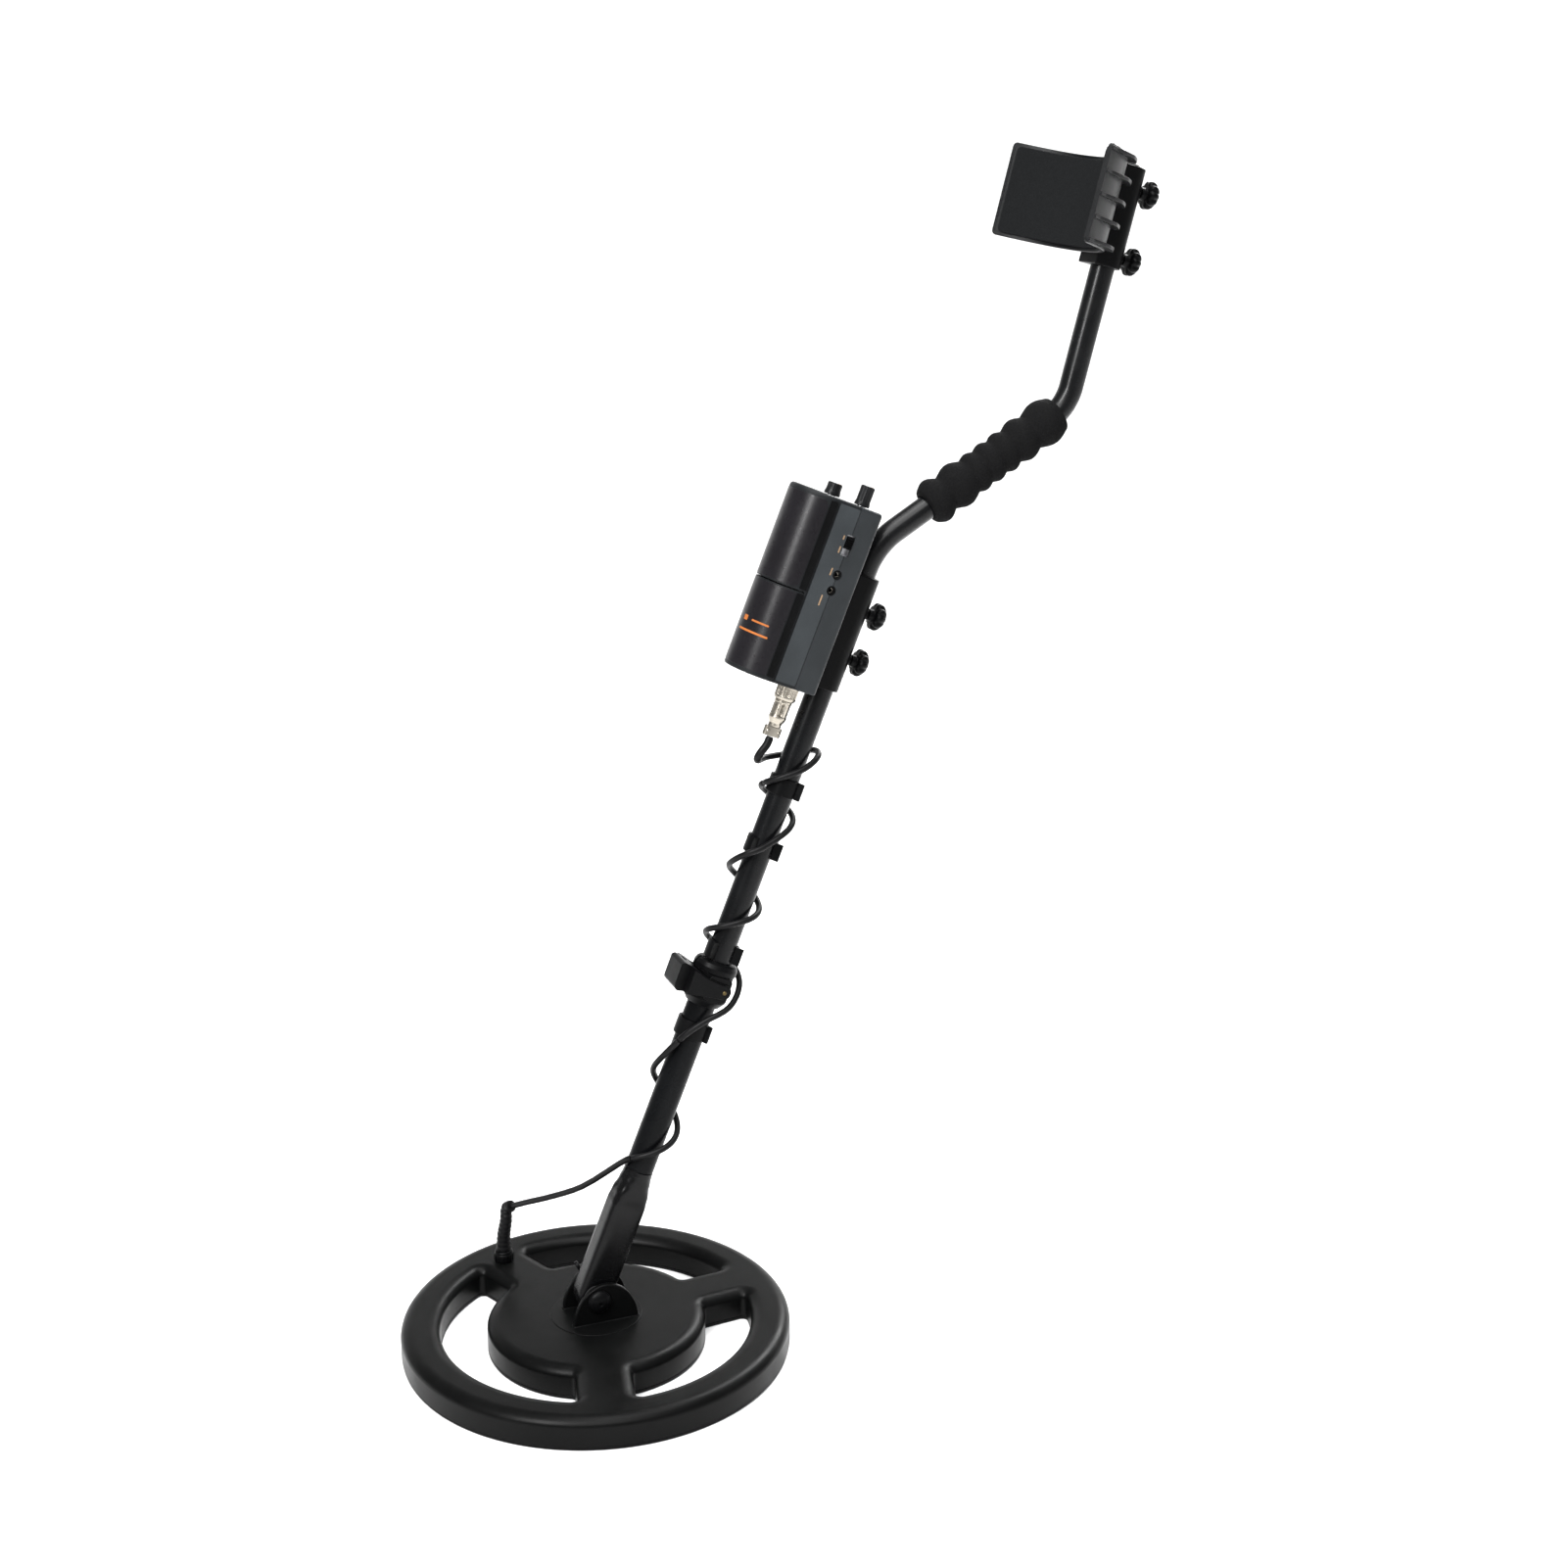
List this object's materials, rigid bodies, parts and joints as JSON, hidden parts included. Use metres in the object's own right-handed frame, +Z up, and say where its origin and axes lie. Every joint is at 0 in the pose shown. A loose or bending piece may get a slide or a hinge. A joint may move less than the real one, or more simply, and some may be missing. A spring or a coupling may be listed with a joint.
{
  "type": "metal detector",
  "caption": "Hand-held metal detector: round open-spoked search coil on a telescoping S-shaped stem with foam grip, control box and arm cuff.",
  "frame": {"origin": "centre of the search coil's underside, which rests on the ground", "axes": "+Z up; -Y forwards, away from the user; +Y towards the user; +X the side with the power switch and the jacks; the stem lies in the plane x = 0"},
  "size_m": [0.28, 0.5629, 0.8352],
  "materials": {
    "coil_plastic": "fine matt black moulding",
    "case_plastic": "satin charcoal moulding",
    "fitting_plastic": "matt black moulding",
    "black_tube": "gloss black anodised tube",
    "nickel": "bright nickel plate",
    "zinc_steel": "zinc-plated steel",
    "brass": "plain brass pin",
    "copper": "varnished copper wire",
    "foam": "closed-cell black foam",
    "pad_foam": "thin charcoal foam pad",
    "cable_rubber": "black cable sheath",
    "washer_rubber": "matt rubber",
    "circuit_green": "varnished circuit board",
    "speaker_paper": "black paper cone in its basket",
    "battery_wrap": "plain wrapped battery"
  },
  "bodies": {
    "coil": {"coil_top_shell": "coil_plastic", "coil_bottom_cover": "coil_plastic", "transmit_winding": "copper", "receive_winding": "copper", "pivot_bolt": "fitting_plastic", "friction_washer_left": "washer_rubber", "friction_washer_right": "washer_rubber", "cable_gland": "fitting_plastic", "strain_relief": "cable_rubber"},
    "pivot_nut": {"pivot_nut": "fitting_plastic"},
    "lower_stem": {"yoke": "fitting_plastic", "lower_tube": "black_tube", "cam_collar": "fitting_plastic", "lever_pin_left": "brass", "lever_pin_right": "brass", "cable_clip_stem": "fitting_plastic", "lead_on_lower_tube": "cable_rubber", "lead_to_coil": "cable_rubber"},
    "cam_lever": {"cam_lever": "fitting_plastic"},
    "upper_stem": {"middle_tube": "black_tube", "s_tube": "black_tube", "tube_end_cap": "fitting_plastic", "foam_grip": "foam", "cable_clip_lower": "fitting_plastic", "cable_clip_middle": "fitting_plastic", "cable_clip_upper": "fitting_plastic", "lead_on_middle_tube": "cable_rubber", "lead_at_lock": "cable_rubber"},
    "control_box": {"rear_case": "case_plastic", "front_case": "case_plastic", "battery": "battery_wrap", "battery_snap": "fitting_plastic", "circuit_board": "circuit_green", "speaker": "speaker_paper", "front_dial_control": "zinc_steel", "rear_dial_control": "zinc_steel", "power_switch_body": "zinc_steel", "headphone_jack": "fitting_plastic", "charging_jack": "fitting_plastic", "case_screw_1": "zinc_steel", "case_screw_2": "zinc_steel", "case_screw_3": "zinc_steel", "case_screw_4": "zinc_steel", "coil_socket": "nickel", "plug_body": "nickel", "plug_cable_clamp": "nickel", "box_bracket": "fitting_plastic", "lead_at_plug": "cable_rubber"},
    "battery_door": {"battery_door": "case_plastic"},
    "front_dial_knob": {"front_dial_knob": "fitting_plastic"},
    "rear_dial_knob": {"rear_dial_knob": "fitting_plastic"},
    "power_switch_slider": {"power_switch_slider": "fitting_plastic"},
    "plug_ring_nut": {"plug_ring_nut": "nickel"},
    "box_clamp_knob_lower": {"box_clamp_knob_lower": "fitting_plastic"},
    "box_clamp_knob_upper": {"box_clamp_knob_upper": "fitting_plastic"},
    "cuff": {"cuff_bracket": "fitting_plastic", "arm_cuff": "case_plastic", "cuff_pad": "pad_foam"},
    "cuff_clamp_knob_lower": {"cuff_clamp_knob_lower": "fitting_plastic"},
    "cuff_clamp_knob_upper": {"cuff_clamp_knob_upper": "fitting_plastic"}
  },
  "joints": [
    {"name": "coil_tilt", "type": "hinge", "parent": "coil", "child": "lower_stem", "pos_m": [0, -0.00226, 0.04054], "axis": [1, 0, 0], "range_deg": [-60, 40], "deforming": ["lead_to_coil"]},
    {"name": "pivot_nut_spin", "type": "hinge", "parent": "coil", "child": "pivot_nut", "pos_m": [-0.0198, -0.00226, 0.04054], "axis": [1, 0, 0], "continuous": true},
    {"name": "lever_flip", "type": "hinge", "parent": "lower_stem", "child": "cam_lever", "pos_m": [0, 0.0938, 0.26381], "axis": [1, 0, 0], "range_deg": [0, 28]},
    {"name": "telescope", "type": "slide", "parent": "lower_stem", "child": "upper_stem", "axis": [0, 0.3762, 0.9265], "range_m": [0, 0.1], "deforming": ["lead_at_lock"]},
    {"name": "box_slide", "type": "slide", "parent": "upper_stem", "child": "control_box", "axis": [0, 0.3762, 0.9265], "range_m": [-0.02, 0], "deforming": ["lead_at_plug"]},
    {"name": "box_knob_lower_spin", "type": "hinge", "parent": "control_box", "child": "box_clamp_knob_lower", "pos_m": [0, 0.201, 0.48794], "axis": [0, 0.9265, -0.3762], "continuous": true},
    {"name": "box_knob_upper_spin", "type": "hinge", "parent": "control_box", "child": "box_clamp_knob_upper", "pos_m": [0, 0.21379, 0.51944], "axis": [0, 0.9265, -0.3762], "continuous": true},
    {"name": "front_dial_turn", "type": "hinge", "parent": "control_box", "child": "front_dial_knob", "pos_m": [-0.009, 0.185, 0.60669], "axis": [0, 0.3762, 0.9265], "range_deg": [-150, 150]},
    {"name": "rear_dial_turn", "type": "hinge", "parent": "control_box", "child": "rear_dial_knob", "pos_m": [0.01, 0.20002, 0.60382], "axis": [0, 0.3762, 0.9265], "range_deg": [-150, 150]},
    {"name": "power_switch_move", "type": "slide", "parent": "control_box", "child": "power_switch_slider", "axis": [0, 0.3762, 0.9265], "range_m": [-0.004, 0]},
    {"name": "door_slide", "type": "slide", "parent": "control_box", "child": "battery_door", "axis": [0, -0.3762, -0.9265], "range_m": [0, 0.066]},
    {"name": "plug_ring_spin", "type": "hinge", "parent": "control_box", "child": "plug_ring_nut", "pos_m": [0, 0.14799, 0.47169], "axis": [0, 0.3762, 0.9265], "continuous": true},
    {"name": "cuff_slide", "type": "slide", "parent": "upper_stem", "child": "cuff", "axis": [0, 0.2521, 0.9677], "range_m": [-0.05, 0]},
    {"name": "cuff_knob_lower_spin", "type": "hinge", "parent": "cuff", "child": "cuff_clamp_knob_lower", "pos_m": [0, 0.40333, 0.75519], "axis": [0, 0.9677, -0.2521], "continuous": true},
    {"name": "cuff_knob_upper_spin", "type": "hinge", "parent": "cuff", "child": "cuff_clamp_knob_upper", "pos_m": [0, 0.41493, 0.7997], "axis": [0, 0.9677, -0.2521], "continuous": true}
  ]
}
